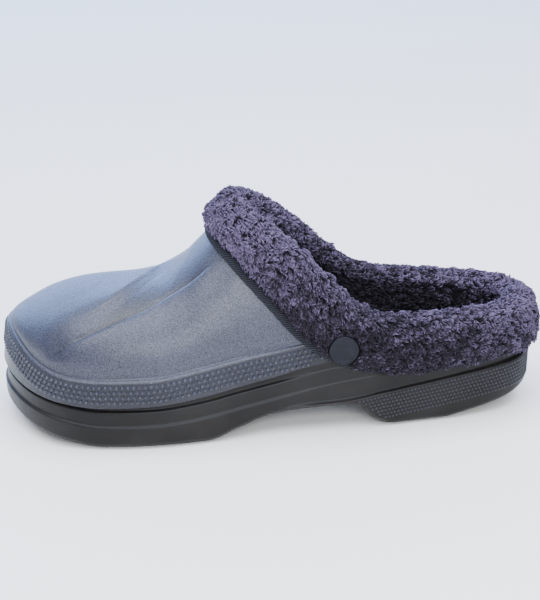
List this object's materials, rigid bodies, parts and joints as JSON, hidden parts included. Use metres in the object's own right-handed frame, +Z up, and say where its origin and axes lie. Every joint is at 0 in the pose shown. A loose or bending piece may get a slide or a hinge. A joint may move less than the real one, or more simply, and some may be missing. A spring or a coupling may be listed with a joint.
{
  "type": "clog slipper",
  "caption": "Backless moulded foam clog with a fleece cuff folded over its opening, held by side rivets, on a lugged sole with a raised arch.",
  "frame": {"origin": "centre of the bounding box, at the floor under the sole", "axes": "+Z up, toe towards -X and heel towards +X, outer side of the foot towards -Y"},
  "size_m": [0.2908, 0.1068, 0.1216],
  "materials": {
    "foam": "closed-cell foam, fine leather grain, satin",
    "fleece": "tufted pile fleece",
    "twill": "twill tape",
    "fleece_bed": "short pile fleece",
    "cap": "satin moulded plastic"
  },
  "bodies": {
    "root": {"clog_body": "foam", "fleece_cuff": "fleece", "cuff_binding": "twill", "insole": "fleece_bed", "rivet_outer": "cap", "rivet_inner": "cap"}
  },
  "joints": []
}
